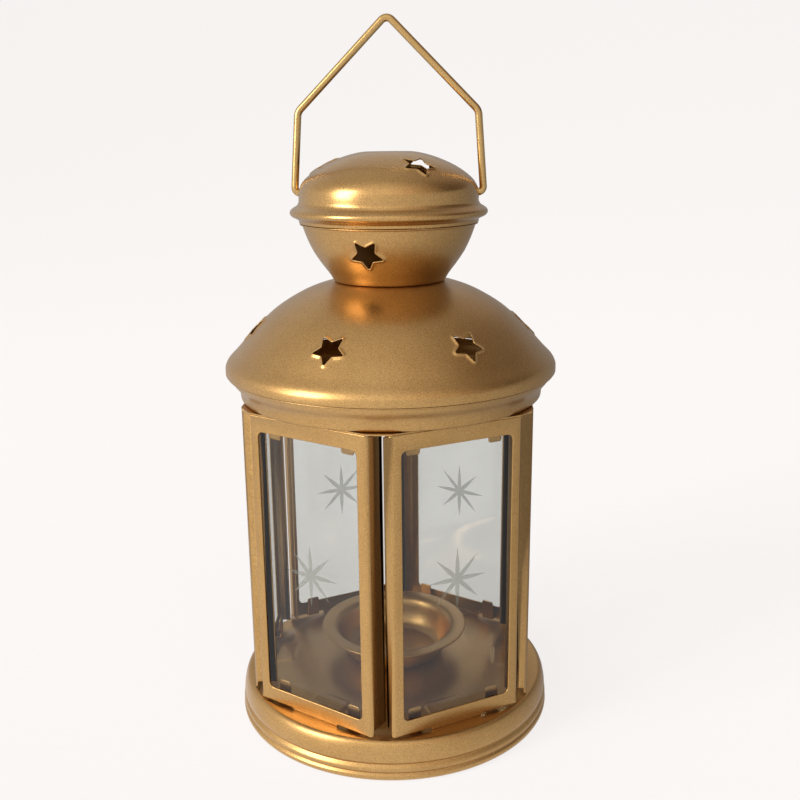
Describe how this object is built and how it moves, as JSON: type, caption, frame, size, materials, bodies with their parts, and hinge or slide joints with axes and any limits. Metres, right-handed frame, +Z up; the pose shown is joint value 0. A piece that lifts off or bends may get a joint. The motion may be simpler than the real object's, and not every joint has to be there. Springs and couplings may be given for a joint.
{
  "type": "tealight lantern",
  "caption": "Hexagonal metal and glass tealight lantern with a star-punched domed roof, a chimney cap and a swinging wire bail, on a round pan that the glass body lifts off.",
  "frame": {"origin": "centre of the flat ring under the base pan, on the surface the lantern stands on", "axes": "+Z up; +X out through the middle of glazed panel 1, so a hexagon corner faces -Y; the handle hinge is level, along X"},
  "size_m": [0.1204, 0.1204, 0.2566],
  "materials": {
    "gold_paint": "soft-gloss metallic gold paint with fine flake",
    "gold_wire": "gloss metallic gold paint on round wire",
    "clear_glass": "clear sheet glass with a frosted eight-pointed star"
  },
  "bodies": {
    "base": {"base_shell": "gold_paint", "tealight_cup": "gold_paint"},
    "lantern_body": {"top_plate": "gold_paint", "collar_ring": "gold_paint", "roof_dome": "gold_paint", "cap_cone": "gold_paint", "cap_lid": "gold_paint", "panel_frame_1": "gold_paint", "panel_frame_2": "gold_paint", "panel_frame_3": "gold_paint", "panel_frame_4": "gold_paint", "panel_frame_5": "gold_paint", "panel_frame_6": "gold_paint", "glass_pane_1": "clear_glass", "glass_pane_2": "clear_glass", "glass_pane_3": "clear_glass", "glass_pane_4": "clear_glass", "glass_pane_5": "clear_glass", "glass_pane_6": "clear_glass"},
    "handle": {"handle_wire": "gold_wire"}
  },
  "joints": [
    {"name": "body_lift", "type": "slide", "parent": "base", "child": "lantern_body", "axis": [0, 0, 1], "range_m": [0, 0.12]},
    {"name": "handle_swing", "type": "hinge", "parent": "lantern_body", "child": "handle", "pos_m": [0, 0, 0.1973], "axis": [1, 0, 0], "range_deg": [-104, 104]}
  ]
}
